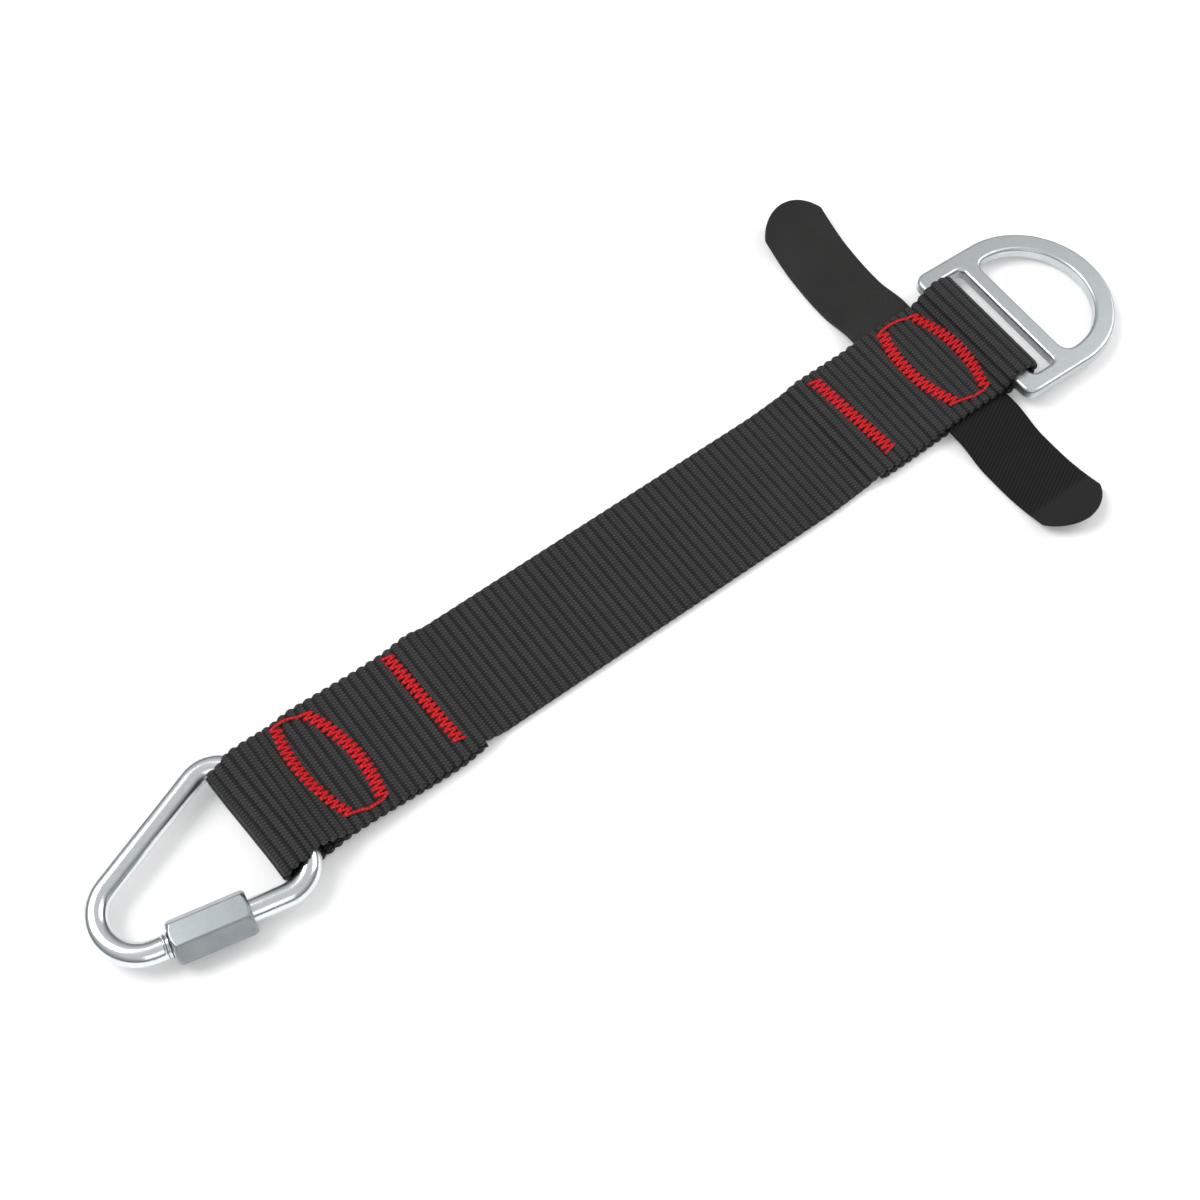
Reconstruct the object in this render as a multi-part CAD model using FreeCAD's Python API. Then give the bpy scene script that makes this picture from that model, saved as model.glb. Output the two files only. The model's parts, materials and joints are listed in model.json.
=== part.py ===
import FreeCAD, Part
import math
import os

# Extension strap for a fall-arrest harness: a folded webbing strap with a flat D-ring sewn in at one
# end, a delta quick link at the other, and a hook-and-loop keeper laid across it beside the D-ring.
# Millimetres. Origin: centre of the strap's underside. +X runs towards the D-ring, +Z is up, and the
# strap lies on the plane z = 0 with its two metal ends resting on that plane too.

# ---- webbing ----
WEB_WIDTH = 47.0            # finished width of the strap
PLY = 2.6                   # thickness of one layer, ribs included
PLY_GAP = 0.1               # air left between two sewn layers
FOLD_X = 70.0               # distance of each fold line from the middle of the strap
FOLD_GAP = 0.3              # from a fold line to the edge of the layer beside it
TAIL_FROM_FOLD_LINK = 13.2  # from a fold line to where the returned tail stops, link end
TAIL_FROM_FOLD_RING = 14.5  # and at the ring end
RING_END_LENGTH = 77.5      # from a fold line to the middle of the D-ring's bar
LINK_END_LENGTH = 81.3      # from a fold line to the middle of the link's bar
STEP_RUN = 6.5              # length over which the top layer climbs onto the tail
BEND = 3.0                  # centre-line radius of the gentle bends of a layer
CLIMB_BEND = 1.6            # and of the sharp bend where a layer leaves the other to go round metal
SOFT_CLEARANCE = 0.3        # air between webbing and the metal that turns in it

# ---- D-ring: flat plate with a strap slot and an eye ----
RING_THICK = 5.0
RING_EDGE = 1.3             # rounding of the plate's edges
RING_BAR = 7.0              # width of the bar that the strap wraps round
RING_SLOT_LENGTH = 10.8     # slot, along the strap
RING_SLOT_SIDE_ROOM = 1.5   # room in the slot on each side of the strap
RING_SLOT_CORNER = 2.4
RING_SIDE_WALL = 6.5        # from the slot's end to the plate's side
RING_RIM = 7.7              # width of the round rim
RING_CROSS_BAR = 6.3        # bar between slot and eye
RING_ARC_FROM_EYE = 4.3     # centre of the round end, from the eye's flat side
RING_EYE_CORNER = 4.0
RING_BASE_CORNER = 4.5

# ---- delta quick link ----
ROD_R = 4.0
LINK_SHIFT_Y = -4.3         # the link lies off the strap's centre line
LINK_YAW = 4.5              # and a little turned, degrees
LINK_BAR_HALF = 15.4        # half of the bar's straight stretch
LINK_CORNER_R = 10.3        # centre-line radius of the two corners
LINK_END_R = 13.9           # centre-line radius of the narrow end
LINK_END_DISTANCE = 49.8    # from the bar to the centre of the narrow end
LINK_FOLD_SLACK = 2.1       # spare room between the bar and the strap's fold
SLEEVE_WALL = 2.75          # from the rod to a flat of the sleeve
SLEEVE_LENGTH = 25.5
SLEEVE_START = 4.9          # from the narrow end's curve to the sleeve, along the straight leg
SLEEVE_BORE_CLEARANCE = 0.05
SLEEVE_CHAMFER = 1.3
SLEEVE_TRAVEL = 11.7
STUB_COVER = 3.4            # how far the closed sleeve covers the short threaded end
SWING_HALF = 90.0           # the link's swing that the fold leaves room for, degrees each way

# ---- hook-and-loop keeper, laid across the strap ----
TAPE_THICK = 1.4
TAPE_WIDTH = 28.0
TAPE_TO_RING_BAR = 6.5      # from the tape's edge to the middle of the D-ring's bar
TAPE_MARGIN = 1.0           # room in the strap on each side of the tape
TAB_HINGE_OUT = 1.2         # fold line of a tab, out from the strap's edge
TAB_FLAT = 5.0              # level stretch before a tab drops
TAB_DROP_RUN = 13.0
TAB_CURL_RUN = 26.0         # length of the lifted tip
TAB_TIP_FLATTER = 3.0       # how much the tip's radius exceeds half the tape's width
LOOP_TAB_LENGTH = 61.3      # from its fold line to its tip
LOOP_TAB_LIFT = 9.0
HOOK_TAB_LENGTH = 52.8
HOOK_TAB_LIFT = 6.0

# ---- thread ----
THREAD_WIDE = 0.7
THREAD_HIGH = 0.5
SWING = 2.6                 # needle swing each side of the seam line, along the strap
STITCH_PITCH = 2.7          # one full zigzag
BAR_SEAM_INSET = 4.7        # from the strap's edge to the end of a straight seam
BAR_SEAM_FROM_TAIL_LINK = 8.1
BAR_SEAM_FROM_TAIL_RING = 7.4
OVAL_FROM_LINK_BAR = 22.0   # from the link's bar to the middle of the oval seam
OVAL_FROM_TAPE = 0.5        # from the tape's middle to the middle of the oval seam
OVAL_HALF_X = 8.4           # half size of an oval seam's line, along the strap
OVAL_INSET = 3.2            # from the strap's edge to an oval seam's end

# ---- worked out from the sizes above ----
HALF = PLY / 2
SECOND = PLY + PLY_GAP                       # underside of a second layer lying on the first
TAIL_END_LINK = -FOLD_X - TAIL_FROM_FOLD_LINK
TAIL_END_RING = FOLD_X + TAIL_FROM_FOLD_RING
RING_BAR_X = FOLD_X + RING_END_LENGTH
LINK_BAR_X = -FOLD_X - LINK_END_LENGTH
RING_SLOT_WIDTH = WEB_WIDTH + 2 * RING_SLOT_SIDE_ROOM
RING_R = RING_SLOT_WIDTH / 2 + RING_SIDE_WALL
RING_EYE_R = RING_R - RING_RIM
RING_HALF_DIAGONAL = math.hypot(RING_BAR / 2 - RING_EDGE, RING_THICK / 2 - RING_EDGE) + RING_EDGE
RING_LOOP_R = max(RING_HALF_DIAGONAL, RING_BAR / 2) + SOFT_CLEARANCE
RING_BAR_Z = PLY + RING_LOOP_R
LINK_LOOP_R = ROD_R + SOFT_CLEARANCE
LINK_BAR_Z = PLY + LINK_LOOP_R
RING_SLOT_X = RING_BAR_X + RING_BAR / 2
RING_EYE_X = RING_SLOT_X + RING_SLOT_LENGTH + RING_CROSS_BAR
RING_ARC_X = RING_EYE_X + RING_ARC_FROM_EYE
RING_END_X = RING_ARC_X + RING_R
RING_TILT = math.degrees(math.asin((RING_BAR_Z - RING_THICK / 2) / (RING_END_X - RING_BAR_X)))
SLEEVE_AF = 2 * (ROD_R + SLEEVE_WALL)
TAPE_HIGH = RING_BAR_X - TAPE_TO_RING_BAR
TAPE_CENTRE_X = TAPE_HIGH - TAPE_WIDTH / 2
TAPE_LOW = TAPE_HIGH - TAPE_WIDTH
TAPE_Z = PLY + PLY_GAP + TAPE_THICK / 2
OVER_TAPE = PLY + PLY_GAP + TAPE_THICK + PLY_GAP
HINGE_Y = WEB_WIDTH / 2 + TAB_HINGE_OUT
TAB_TIP_R = TAPE_WIDTH / 2 + TAB_TIP_FLATTER
LOOP_TAB_END_Y = HINGE_Y + LOOP_TAB_LENGTH
HOOK_TAB_END_Y = -HINGE_Y - HOOK_TAB_LENGTH
BAR_SEAM_HALF = WEB_WIDTH / 2 - BAR_SEAM_INSET
BAR_SEAM_LINK_X = TAIL_END_LINK - BAR_SEAM_FROM_TAIL_LINK
BAR_SEAM_RING_X = TAIL_END_RING + BAR_SEAM_FROM_TAIL_RING
OVAL_LINK_X = LINK_BAR_X + OVAL_FROM_LINK_BAR
OVAL_RING_X = TAPE_CENTRE_X - OVAL_FROM_TAPE
OVAL_HALF_Y = WEB_WIDTH / 2 - OVAL_INSET

V = FreeCAD.Vector
X_AXIS = V(1, 0, 0)
Y_AXIS = V(0, 1, 0)
Z_AXIS = V(0, 0, 1)


def unit(a, b):
    """Direction from point a to point b."""
    d = b.sub(a)
    return d.multiply(1 / d.Length)


def rounded_path(corners, radii):
    """Runs and tangent arcs along corners: [("line", a, b)] and [("arc", a, b, centre, side)] in order.

    The points lie in the XZ plane. side is +1 where the path turns left seen along +Y.
    """
    pieces = []
    start = corners[0]
    for before, corner, after, radius in zip(corners, corners[1:], corners[2:], radii):
        come = unit(before, corner)
        go = unit(corner, after)
        cross = come.x * go.z - come.z * go.x
        turn = math.acos(max(-1.0, min(1.0, come.dot(go))))
        reach = radius * math.tan(turn / 2)
        side = 1 if cross > 0 else -1
        a = corner - come * reach
        b = corner + go * reach
        centre = a + V(-come.z, 0, come.x) * (side * radius)
        pieces.append(("line", start, a))
        pieces.append(("arc", a, b, centre, side))
        start = b
    pieces.append(("line", start, corners[-1]))
    return pieces


def offset_edges(pieces, distance):
    """The path moved sideways by distance, to its left if positive."""
    edges = []
    for piece in pieces:
        a, b = piece[1], piece[2]
        if piece[0] == "line":
            if b.sub(a).Length > 1e-6:
                along = unit(a, b)
                left = V(-along.z, 0, along.x) * distance
                edges.append(Part.makeLine(a + left, b + left))
        else:
            centre, side = piece[3], piece[4]
            radius = a.sub(centre).Length
            scale = (radius - side * distance) / radius
            middle = unit(centre, (a + b) * 0.5) * radius
            points = [centre + (p - centre) * scale for p in (a, centre + middle, b)]
            edges.append(Part.Arc(*points).toShape())
    return edges


def band(corners, radii, point_first=False, point_last=False):
    """A layer of webbing, PLY thick, whose middle follows rounded_path, and WEB_WIDTH across.

    An end that meets a fold line is brought to a right-angled edge, so that it can turn there.
    """
    pieces = rounded_path(corners, radii)
    left = offset_edges(pieces, HALF)
    right = offset_edges(pieces, -HALF)
    first_edge = [left[0].valueAt(left[0].FirstParameter), right[0].valueAt(right[0].FirstParameter)]
    last_edge = [left[-1].valueAt(left[-1].LastParameter), right[-1].valueAt(right[-1].LastParameter)]
    start_cap = [first_edge[0]]
    if point_first:
        start_cap.append(corners[0] - unit(corners[0], corners[1]) * HALF)
    start_cap.append(first_edge[1])
    end_cap = [last_edge[0]]
    if point_last:
        end_cap.append(corners[-1] + unit(corners[-2], corners[-1]) * HALF)
    end_cap.append(last_edge[1])
    caps = [Part.makeLine(a, b) for cap in (start_cap, end_cap) for a, b in zip(cap, cap[1:])]
    wire = Part.Wire(Part.sortEdges(left + right + caps)[0])
    solid = Part.Face(wire).extrude(V(0, WEB_WIDTH, 0))
    solid.translate(V(0, -WEB_WIDTH / 2, 0))
    return solid


def tangent_corner(start, bar, wrap):
    """Where the layer that leaves start and just touches the circle round bar meets the level over it."""
    away = 1 if bar.x > start.x else -1
    across = bar.sub(start)
    rise = math.atan2(across.z, abs(across.x)) + math.asin(wrap / across.Length)
    return V(start.x + away * (bar.z + wrap - start.z) / math.tan(rise), 0, bar.z + wrap)


def strap_middle():
    """The single layer between the two fold lines."""
    end = FOLD_X - FOLD_GAP - HALF
    return band([V(-end, 0, HALF), V(end, 0, HALF)], [], point_first=True, point_last=True)


def strap_ring_end():
    """The strap's ring end: up over the tail and the keeper, round the D-ring's bar, and back."""
    wrap = RING_LOOP_R + HALF
    top = RING_BAR_Z + wrap
    over = OVER_TAPE + HALF
    lift_start = TAPE_LOW - TAPE_MARGIN - 1.5 * BEND
    climb = V(TAPE_HIGH - 1.0, 0, over)
    bar = V(RING_BAR_X, 0, RING_BAR_Z)
    corners = [
        V(FOLD_X + FOLD_GAP + HALF, 0, HALF),
        V(TAIL_END_RING - STEP_RUN, 0, HALF),
        V(TAIL_END_RING + 0.5, 0, SECOND + HALF),
        V(lift_start - BEND, 0, SECOND + HALF),
        V(lift_start + BEND / 2, 0, over),
        climb,
        tangent_corner(climb, bar, wrap),
        V(RING_BAR_X + wrap, 0, top),
        V(RING_BAR_X + wrap, 0, HALF),
        V(TAIL_END_RING + PLY, 0, HALF),
    ]
    radii = [BEND, BEND, BEND, BEND, CLIMB_BEND, wrap, wrap, wrap]
    return band(corners, radii, point_first=True)


def strap_link_end():
    """The strap's link end: up over the tail, round the quick link's bar, and back."""
    wrap = LINK_LOOP_R + HALF
    top = LINK_BAR_Z + wrap
    fold_x = LINK_BAR_X - LINK_FOLD_SLACK - wrap
    seam_edge = OVAL_LINK_X - OVAL_HALF_X - SWING - THREAD_WIDE / 2
    climb = V(seam_edge - CLIMB_BEND, 0, SECOND + HALF)
    bar = V(LINK_BAR_X + LINK_BAR_HALF * math.sin(math.radians(LINK_YAW)), 0, LINK_BAR_Z)
    corners = [
        V(-FOLD_X - FOLD_GAP - HALF, 0, HALF),
        V(TAIL_END_LINK + STEP_RUN, 0, HALF),
        V(TAIL_END_LINK - 0.5, 0, SECOND + HALF),
        climb,
        tangent_corner(climb, bar, wrap),
        V(fold_x, 0, top),
        V(fold_x, 0, HALF),
        V(TAIL_END_LINK - PLY, 0, HALF),
    ]
    radii = [BEND, BEND, CLIMB_BEND, wrap, wrap, wrap]
    return band(corners, radii, point_first=True)


def rod_shape(radius, gap):
    """The link's rod in its own frame, bar along Y through the origin, narrow end towards -X.

    Runs are cylinders and bends are torus segments. gap cuts the mouth in the leg on the -Y side.
    """
    corner = V(-LINK_CORNER_R, LINK_BAR_HALF, 0)
    end = V(-LINK_END_DISTANCE, 0, 0)
    slope = leg_slope()
    out = V(-math.sin(slope), math.cos(slope), 0)
    leg_start = end + out * LINK_END_R
    leg_stop = corner + out * LINK_CORNER_R
    along = unit(leg_start, leg_stop)
    length = leg_stop.sub(leg_start).Length
    turn = 90 + math.degrees(slope)
    pieces = [Part.makeCylinder(radius, 2 * LINK_BAR_HALF, V(0, -LINK_BAR_HALF, 0), Y_AXIS)]
    for side in (1, -1):
        start = V(leg_start.x, side * leg_start.y, 0)
        direction = V(along.x, side * along.y, 0)
        if side < 0 and gap:
            stub = SLEEVE_START + STUB_COVER
            free = SLEEVE_START + SLEEVE_TRAVEL
            pieces.append(Part.makeCylinder(radius, stub, start, direction))
            pieces.append(Part.makeCylinder(radius, length - free, start + direction * free, direction))
        else:
            pieces.append(Part.makeCylinder(radius, length, start, direction))
        first = 0 if side > 0 else -turn
        bend = Part.makeTorus(LINK_CORNER_R, radius, V(0, 0, 0), Z_AXIS, -180, 180, turn)
        bend.rotate(V(0, 0, 0), Z_AXIS, first)
        bend.translate(V(corner.x, side * corner.y, 0))
        pieces.append(bend)
    sweep = 180 - 2 * math.degrees(slope)
    round_end = Part.makeTorus(LINK_END_R, radius, V(0, 0, 0), Z_AXIS, -180, 180, sweep)
    round_end.rotate(V(0, 0, 0), Z_AXIS, 90 + math.degrees(slope))
    round_end.translate(end)
    pieces.append(round_end)
    return pieces[0].multiFuse(pieces[1:]).removeSplitter()


def leg_slope():
    """How far each straight leg leans inwards from the strap's direction, in radians."""
    dx = LINK_END_DISTANCE - LINK_CORNER_R
    reach = math.hypot(dx, LINK_BAR_HALF)
    return math.atan2(LINK_BAR_HALF, dx) - math.asin((LINK_END_R - LINK_CORNER_R) / reach)


def place_link(shape):
    """From the link's own frame to its place in the strap's fold."""
    placed = shape.copy()
    placed.rotate(V(0, 0, 0), Z_AXIS, LINK_YAW)
    placed.translate(V(LINK_BAR_X, LINK_SHIFT_Y, LINK_BAR_Z))
    return placed


def link_sleeve():
    """The hexagonal sleeve nut, closed, with a running clearance on the rod."""
    slope = leg_slope()
    start = V(-LINK_END_DISTANCE - math.sin(slope) * LINK_END_R, -math.cos(slope) * LINK_END_R, 0)
    along = V(math.cos(slope), -math.sin(slope), 0)
    corner_r = SLEEVE_AF / math.sqrt(3)
    points = [
        V(0, corner_r * math.cos(math.radians(60 * k)), corner_r * math.sin(math.radians(60 * k)))
        for k in range(7)
    ]
    body = Part.Face(Part.makePolygon(points)).extrude(V(SLEEVE_LENGTH, 0, 0))
    flank = SLEEVE_LENGTH / 2
    cone_r = SLEEVE_AF / 2 - 0.2
    grow = (flank / SLEEVE_CHAMFER) * (corner_r - cone_r)
    ends = Part.makeCone(cone_r, cone_r + grow, flank, V(0, 0, 0), X_AXIS)
    ends = ends.fuse(Part.makeCone(cone_r + grow, cone_r, flank, V(flank, 0, 0), X_AXIS))
    body = body.common(ends)
    body = body.cut(Part.makeCylinder(ROD_R + SLEEVE_BORE_CLEARANCE, SLEEVE_LENGTH, V(0, 0, 0), X_AXIS))
    body.rotate(V(0, 0, 0), Z_AXIS, -math.degrees(slope))
    body.translate(start + along * SLEEVE_START)
    return body


def swing_room():
    """The room in the strap's fold that the link's bent corners need as the link turns on its bar.

    Its outline is the inner side of a bent corner, a clearance away, and all that lies beyond it.
    """
    reach = LINK_LOOP_R
    beyond = WEB_WIDTH
    corner = V(-LINK_CORNER_R, LINK_BAR_HALF, 0)
    inner = LINK_CORNER_R - reach
    near = math.hypot(reach + PLY, reach) + SOFT_CLEARANCE
    far = LINK_FOLD_SLACK + LINK_LOOP_R + 2 * PLY
    rooms = []
    for depth, first, sweep in ((near, 0, 360), (far, -SWING_HALF, 2 * SWING_HALF)):
        cut_off = min(depth, LINK_CORNER_R)
        angle = math.acos((LINK_CORNER_R - cut_off) / inner)
        stop = V(-cut_off, corner.y + inner * math.sin(angle), 0)
        middle = V(corner.x + inner * math.cos(angle / 2), corner.y + inner * math.sin(angle / 2), 0)
        start = V(corner.x + inner, corner.y, 0)
        edges = [
            Part.makeLine(V(0, corner.y, 0), start),
            Part.Arc(start, middle, stop).toShape(),
        ]
        last = stop
        if depth > cut_off:
            last = V(-depth, stop.y - (depth - cut_off) * math.tan(leg_slope()), 0)
            edges.append(Part.makeLine(stop, last))
        edges.append(Part.makeLine(last, V(last.x, beyond, 0)))
        edges.append(Part.makeLine(V(last.x, beyond, 0), V(0, beyond, 0)))
        edges.append(Part.makeLine(V(0, beyond, 0), V(0, corner.y, 0)))
        face = Part.Face(Part.Wire(edges))
        face.rotate(V(0, 0, 0), Y_AXIS, first)
        room = face.revolve(V(0, 0, 0), Y_AXIS, sweep)
        rooms.append(room)
    room = rooms[0].fuse(rooms[1]).removeSplitter()
    return [room, room.mirror(V(0, 0, 0), Y_AXIS)]


def d_ring():
    """A flat plate with a strap slot and an eye, tilted so that its round end rests on z = 0."""
    low = RING_BAR_X - RING_BAR / 2
    straight = Part.makeBox(RING_ARC_X - low, 2 * RING_R, RING_THICK, V(low, -RING_R, -RING_THICK / 2))
    upright = [e for e in straight.Edges if e.BoundBox.ZLength > RING_THICK / 2 and e.BoundBox.XMax < low + 1]
    straight = straight.makeFillet(RING_BASE_CORNER, upright)
    disc = Part.makeCylinder(RING_R, RING_THICK, V(RING_ARC_X, 0, -RING_THICK / 2))
    disc = disc.common(Part.makeBox(RING_R, 2 * RING_R, RING_THICK, V(RING_ARC_X, -RING_R, -RING_THICK / 2)))
    plate = straight.fuse(disc).removeSplitter()
    slot = Part.makeBox(
        RING_SLOT_LENGTH, RING_SLOT_WIDTH, 2 * RING_THICK, V(RING_SLOT_X, -RING_SLOT_WIDTH / 2, -RING_THICK)
    )
    slot = slot.makeFillet(RING_SLOT_CORNER, [e for e in slot.Edges if e.BoundBox.ZLength > RING_THICK])
    eye = Part.makeCylinder(RING_EYE_R, 2 * RING_THICK, V(RING_ARC_X, 0, -RING_THICK))
    keep = Part.makeBox(4 * RING_R, 4 * RING_R, 4 * RING_THICK, V(RING_EYE_X, -2 * RING_R, -2 * RING_THICK))
    eye = eye.common(keep)
    upright = [e for e in eye.Edges if e.BoundBox.ZLength > RING_THICK and e.BoundBox.XLength < 0.01]
    eye = eye.makeFillet(RING_EYE_CORNER, upright)
    plate = plate.cut(slot).cut(eye).removeSplitter()
    rims = [e for e in plate.Edges if e.BoundBox.ZLength < 0.01]
    plate = plate.makeFillet(RING_EDGE, rims)
    plate.rotate(V(RING_BAR_X, 0, 0), Y_AXIS, RING_TILT)
    plate.translate(V(0, 0, RING_BAR_Z))
    return plate


def tape_root(side):
    """Half of the keeper tape that is sewn in between the strap's layers, on one side of the middle."""
    edge = HINGE_Y - FOLD_GAP - TAPE_THICK / 2
    t = TAPE_THICK / 2
    points = [(0.05, -t), (edge, -t), (edge + t, 0), (edge, t), (0.05, t), (0.05, -t)]
    wire = Part.makePolygon([V(TAPE_LOW, side * y, TAPE_Z + z) for y, z in points])
    return Part.Face(wire).extrude(V(TAPE_WIDTH, 0, 0))


def tab(end_y, lift):
    """A free tab: level beside the strap, eased down to z = 0, and lifted at its round tip."""
    side = 1 if end_y > 0 else -1
    t = TAPE_THICK / 2
    start = HINGE_Y + FOLD_GAP + t
    stop = abs(end_y)
    drop_from = HINGE_Y + TAB_FLAT
    drop_to = drop_from + TAB_DROP_RUN
    curl_from = stop - TAB_CURL_RUN

    def middle(y):
        """Height of the tape's middle: a cosine step down, level, then a parabola up."""
        if y < drop_from:
            return TAPE_Z
        if y < drop_to:
            share = (1 - math.cos(math.pi * (y - drop_from) / TAB_DROP_RUN)) / 2
            return TAPE_Z + (t - TAPE_Z) * share
        return t + lift * max(0.0, (y - curl_from) / TAB_CURL_RUN) ** 2

    count = 24
    ys = [start + (stop - start) * k / count for k in range(count + 1)]
    upper = Part.BSplineCurve()
    upper.interpolate([V(TAPE_LOW, side * y, middle(y) + t) for y in ys])
    lower = Part.BSplineCurve()
    lower.interpolate([V(TAPE_LOW, side * y, middle(y) - t) for y in ys])
    tip = V(TAPE_LOW, side * (start - t), TAPE_Z)
    edges = [
        upper.toShape(),
        lower.toShape(),
        Part.makeLine(upper.value(upper.LastParameter), lower.value(lower.LastParameter)),
        Part.makeLine(upper.value(upper.FirstParameter), tip),
        Part.makeLine(tip, lower.value(lower.FirstParameter)),
    ]
    strip = Part.Face(Part.Wire(Part.sortEdges(edges)[0])).extrude(V(TAPE_WIDTH, 0, 0))
    round_tip = Part.makeCylinder(TAB_TIP_R, 60, V(TAPE_CENTRE_X, side * (stop - TAB_TIP_R), -20))
    square = Part.makeBox(TAPE_WIDTH, stop - TAB_TIP_R, 60, V(TAPE_LOW, 0, -20))
    if side < 0:
        square.translate(V(0, TAB_TIP_R - stop, 0))
    return strip.common(round_tip.fuse(square))


def stitches(points, z):
    """One thread laid as straight legs from point to point, flat on the height z."""
    legs = []
    for a, b in zip(points, points[1:]):
        length = math.hypot(b[0] - a[0], b[1] - a[1]) + THREAD_WIDE
        leg = Part.makeBox(length, THREAD_WIDE, THREAD_HIGH, V(-THREAD_WIDE / 2, -THREAD_WIDE / 2, 0))
        leg.rotate(V(0, 0, 0), Z_AXIS, math.degrees(math.atan2(b[1] - a[1], b[0] - a[0])))
        leg.translate(V(a[0], a[1], z))
        legs.append(leg)
    return legs[0].multiFuse(legs[1:]).removeSplitter()


def bar_points(x):
    """A straight zigzag seam across the strap at x."""
    count = int(round(4 * BAR_SEAM_HALF / STITCH_PITCH))
    ys = [BAR_SEAM_HALF - 2 * BAR_SEAM_HALF * k / count for k in range(count + 1)]
    return [(x + SWING * (1 if k % 2 else -1), y) for k, y in enumerate(ys)]


def oval_points(x):
    """An oval zigzag seam round x: the needle swings along the strap, so the ends come out as a line."""
    count = 2 * int(round(4 * OVAL_HALF_Y / STITCH_PITCH / 2) * 2)
    points = []
    for k in range(count + 1):
        angle = 2 * math.pi * k / count + math.pi / 2
        swing = SWING * abs(math.cos(angle)) ** 0.5 * (1 if k % 2 else -1)
        points.append((x + OVAL_HALF_X * math.cos(angle) + swing, OVAL_HALF_Y * math.sin(angle)))
    points[-1] = points[0]
    return points


def build():
    """Every piece, by its node's name."""
    ring_end = strap_ring_end()
    link_end = strap_link_end()
    for room in swing_room():
        link_end = link_end.cut(place_link(room))
    shapes = {}
    seams = (
        ("bar_stitch_ring_end", bar_points(BAR_SEAM_RING_X), SECOND + PLY),
        ("oval_stitch_ring_end", oval_points(OVAL_RING_X), OVER_TAPE + PLY),
        ("bar_stitch_link_end", bar_points(BAR_SEAM_LINK_X), SECOND + PLY),
        ("oval_stitch_link_end", oval_points(OVAL_LINK_X), SECOND + PLY),
    )
    for name, points, top in seams:
        shapes[name + "_needle_thread"] = stitches(points, top)
        under = stitches(points, 0)
        shapes[name + "_bobbin_thread"] = under
        if "ring" in name:
            ring_end = ring_end.cut(under)
        else:
            link_end = link_end.cut(under)
    shapes["webbing_middle"] = strap_middle()
    shapes["webbing_ring_end"] = ring_end
    shapes["webbing_link_end"] = link_end
    shapes["d_ring"] = d_ring()
    shapes["quick_link_rod"] = place_link(rod_shape(ROD_R, True))
    shapes["quick_link_sleeve"] = place_link(link_sleeve())
    shapes["loop_tape_root"] = tape_root(1)
    shapes["hook_tape_root"] = tape_root(-1)
    shapes["loop_tape_tab"] = tab(LOOP_TAB_END_Y, LOOP_TAB_LIFT)
    shapes["hook_tape_tab"] = tab(HOOK_TAB_END_Y, HOOK_TAB_LIFT)
    return shapes


os.makedirs("parts", exist_ok=True)
for node, shape in build().items():
    solids = shape.Solids
    print(node, "solids", len(solids), "valid", shape.isValid(), "volume", round(shape.Volume, 1))
    result = solids[0] if len(solids) == 1 else Part.makeCompound(solids)
    result.exportStep("parts/" + node + ".step")
print("ring bar z", round(RING_BAR_Z, 3), "ring tilt", round(RING_TILT, 3), "link bar z", LINK_BAR_Z)
print("leg slope", round(math.degrees(leg_slope()), 3), "tape z", TAPE_Z, "hinge y", HINGE_Y)
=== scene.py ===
import json
import math

import bpy
import numpy as np
from mathutils import Matrix, Vector


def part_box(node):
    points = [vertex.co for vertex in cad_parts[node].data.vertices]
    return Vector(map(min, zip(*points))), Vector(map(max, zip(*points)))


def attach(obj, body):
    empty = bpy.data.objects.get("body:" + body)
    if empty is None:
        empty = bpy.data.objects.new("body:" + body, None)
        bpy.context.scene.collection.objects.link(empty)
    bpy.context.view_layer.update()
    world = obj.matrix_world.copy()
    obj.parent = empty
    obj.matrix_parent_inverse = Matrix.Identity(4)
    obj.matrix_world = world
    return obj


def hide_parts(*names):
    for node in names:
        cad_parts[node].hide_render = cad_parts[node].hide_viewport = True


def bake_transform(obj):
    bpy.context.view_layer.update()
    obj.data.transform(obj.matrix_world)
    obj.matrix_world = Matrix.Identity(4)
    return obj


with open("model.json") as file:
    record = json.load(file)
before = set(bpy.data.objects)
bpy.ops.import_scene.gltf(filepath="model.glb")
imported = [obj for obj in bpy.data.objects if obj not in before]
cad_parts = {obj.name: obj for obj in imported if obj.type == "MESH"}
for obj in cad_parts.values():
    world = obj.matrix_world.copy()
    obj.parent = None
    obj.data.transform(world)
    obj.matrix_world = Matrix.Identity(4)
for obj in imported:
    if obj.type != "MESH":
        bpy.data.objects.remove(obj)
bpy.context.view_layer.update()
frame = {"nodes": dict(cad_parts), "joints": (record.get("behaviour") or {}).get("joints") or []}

# %% [markdown]
# ## The strap and the frame it is built on
# A harness extension strap is a length of heavy ribbed webbing. A flat D-ring is sewn into one end,
# a delta quick link hangs in the other, and a hook-and-loop keeper lies across it under the top layer.
# The imported frame already fixes where each piece is and what turns on what. The strap's thickness and
# width, the tapes, rod and sleeve sizes and the joint places are read from it; the other sizes are given as
# numbers.

# %% Sizes read from the frame
MM = 0.001
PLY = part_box("webbing_middle")[1].z
STRAP_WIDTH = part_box("webbing_middle")[1].y * 2
JOINTS = {j["name"]: j for j in frame["joints"]}
RING_BAR = Vector(JOINTS["d_ring_swing"]["pos_m"])
LINK_BAR = Vector(JOINTS["quick_link_swing"]["pos_m"])
LINK_AXIS = Vector(JOINTS["quick_link_swing"]["axis"])
FOLD_X = JOINTS["strap_fold_ring_end"]["pos_m"][0]
TAB_HINGE = Vector(JOINTS["loop_tab_fold"]["pos_m"])
LINK_END_FOLD_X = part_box("webbing_link_end")[0].x
print("strap", round(STRAP_WIDTH / MM, 1), "mm wide,", round(PLY / MM, 1), "mm thick")

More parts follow.
